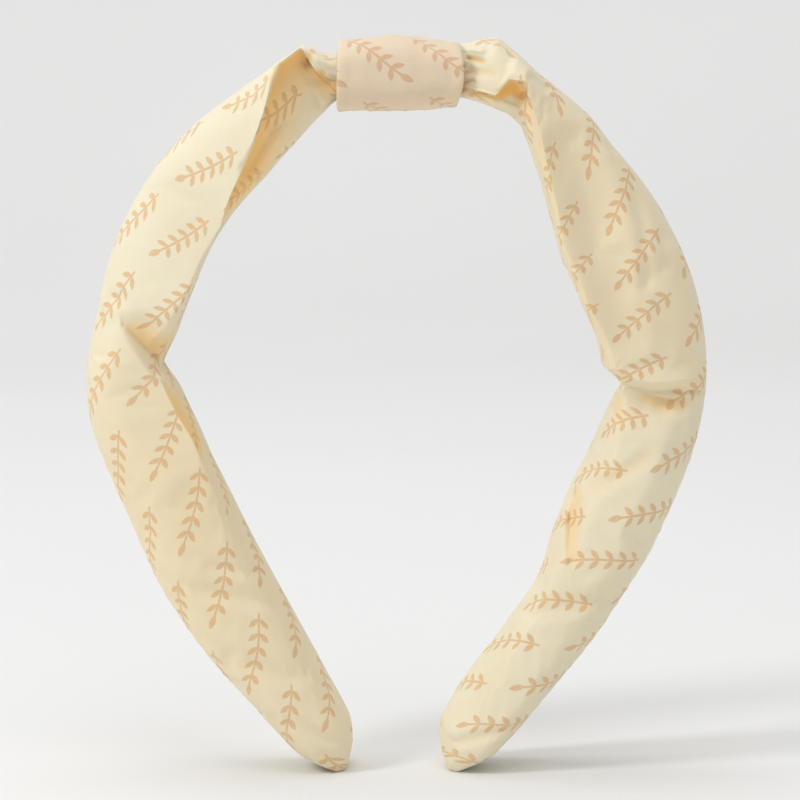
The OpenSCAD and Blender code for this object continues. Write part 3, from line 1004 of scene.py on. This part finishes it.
def plain(name, base, roughness, variation, grain, grain_depth, sheen=0.0):
    """A material of one colour with fine variation and grain."""
    n = Nodes(name)
    place = n.node("ShaderNodeTexCoord").outputs["Object"]
    low = tuple(c * (1 - variation) for c in base)
    shade = n.remap(n.noise(place, 300.0, 4.0), 0.35, 0.65)
    n.link(n.mix(shade, (*low, 1), (*base, 1)), n.shader.inputs["Base Color"])
    n.link(n.bump(n.noise(place, grain, 3.0), 0.3, grain_depth), n.shader.inputs["Normal"])
    n.shader.inputs["Roughness"].default_value = roughness
    n.shader.inputs["Sheen Weight"].default_value = sheen
    return n.material


sleeve_cloth = {
    "left": printed_cloth("printed_cloth_left", CREAM, INK, math.radians(-38), (-0.59, 0.0025)),
    "right": printed_cloth("printed_cloth_right", CREAM, INK, math.radians(61)),
}
wrap_cloth = printed_cloth("wrap_cloth", WRAP_CREAM, WRAP_INK, math.radians(42))
thread = plain("thread", (0.80, 0.72, 0.54), 0.6, 0.12, 2500.0, 0.0001, 0.2)
wadding = plain("wadding", (0.84, 0.83, 0.80), 0.95, 0.06, 800.0, 0.0006, 0.3)
plastic = plain("core_plastic", (0.82, 0.82, 0.80), 0.45, 0.03, 900.0, 0.00005)


def finish_piece(piece, material, body, node):
    """Gives a piece its material, the CAD node it stands for and the body it moves with.

    A piece without a body is left unattached here.
    """
    piece.data.materials.append(material)
    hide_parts(node)
    if body:
        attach(piece, body)


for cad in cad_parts.values():
    cad.data.materials.clear()
    cad.data.materials.append(plastic)

# ---------------------------------------------------------------- floor, light and camera


def studio_floor():
    """A pale sweep: flat under the object, and curving up far behind it. It is measured in metres."""
    front, flat_to, radius, top, half_wide = -6.0, 1.2, 0.9, 3.2, 3.0
    turn = np.linspace(0.1, 1, 16) * math.pi / 2
    depth = np.concatenate([np.linspace(front, flat_to, 6), flat_to + radius * np.sin(turn)])
    rise = np.concatenate([np.zeros(6), radius * (1 - np.cos(turn))])
    depth, rise = np.append(depth, depth[-1]), np.append(rise, top)
    verts = [(x, y, z) for y, z in zip(depth, rise) for x in (-half_wide, half_wide)]
    faces = [(2 * i, 2 * i + 1, 2 * i + 3, 2 * i + 2) for i in range(len(depth) - 1)]
    mesh = bpy.data.meshes.new("studio_floor")
    mesh.from_pydata(verts, [], faces)
    mesh.polygons.foreach_set("use_smooth", [True] * len(faces))
    floor = bpy.data.objects.new("studio_floor", mesh)
    bpy.context.scene.collection.objects.link(floor)
    n = Nodes("studio_paper")
    place = n.node("ShaderNodeTexCoord").outputs["Object"]
    shade = n.remap(n.noise(place, 3.0, 2.0), 0.3, 0.7)
    n.link(n.mix(shade, (0.85, 0.85, 0.845, 1), (0.865, 0.865, 0.86, 1)), n.shader.inputs["Base Color"])
    n.shader.inputs["Roughness"].default_value = 0.95
    n.shader.inputs["Specular IOR Level"].default_value = 0.1
    mesh.materials.append(n.material)


def aim(thing, target):
    """Turns a light or the camera towards a point."""
    direction = np.array(target, float) - np.array(thing.location)
    thing.rotation_mode = "QUATERNION"
    thing.rotation_quaternion = Vector(direction).to_track_quat("-Z", "Y")


def soft_light(name, place, size, power, colour, target=(0, 0, 0.08)):
    """A round soft light that points at the target."""
    data = bpy.data.lights.new(name, "AREA")
    data.shape = "DISK"
    data.size = size
    data.energy = power
    data.color = colour
    light = bpy.data.objects.new(name, data)
    bpy.context.scene.collection.objects.link(light)
    light.location = place
    aim(light, target)


def studio_camera():
    """Straight on from the front, a little above the middle, with a long lens."""
    elevation = math.radians(5)
    focus = np.array([0.0007, 0.0, 0.0815])
    distance, lens = 0.782, 160.0
    data = bpy.data.cameras.new("camera")
    data.lens = lens
    camera = bpy.data.objects.new("camera", data)
    bpy.context.scene.collection.objects.link(camera)
    back = np.array([0, -math.cos(elevation), math.sin(elevation)])
    camera.location = focus + back * distance
    aim(camera, focus)
    bpy.context.scene.camera = camera


studio_floor()
soft_light("key", (-0.95, -0.65, 0.95), 0.38, 6.4, (0.99, 0.99, 1.0))
soft_light("over", (0.1, -0.8, 1.5), 1.0, 3.6, (0.96, 0.98, 1.0), target=(0, -0.25, 0))
soft_light("sweep", (-0.3, 0.4, 1.9), 1.4, 12.0, (0.96, 0.98, 1.0), target=(-0.1, 1.9, 0.5))
world = bpy.data.worlds.new("studio_world")
world.use_nodes = True
background = world.node_tree.nodes["Background"]
background.inputs["Color"].default_value = (1.0, 0.99, 0.98, 1)
background.inputs["Strength"].default_value = 0.575
bpy.context.scene.world = world
bpy.context.scene.view_settings.view_transform = "Standard"
studio_camera()

# ---------------------------------------------------------------- what moves with what

for name, (piece, _, _) in sleeves.items():
    leg = name + "_leg"
    finish_piece(piece, sleeve_cloth[name], None, name + "_cover")
    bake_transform(piece)
    finish_piece(waddings[name], wadding, leg, name + "_padding")
    seam, tip = leg_sewing[name]
    finish_piece(seam, thread, leg, name + "_seam_stitches")
    finish_piece(tip, thread, leg, name + "_tip_stitches")

finish_piece(crown_wrap, wrap_cloth, "crown", "knot_wrap")
finish_piece(middle, sleeve_cloth["left"], "crown", "gathered_centre")
finish_piece(gather_winding, thread, "crown", "gather_thread")
finish_piece(wrap_sewing, thread, "crown", "wrap_stitches")
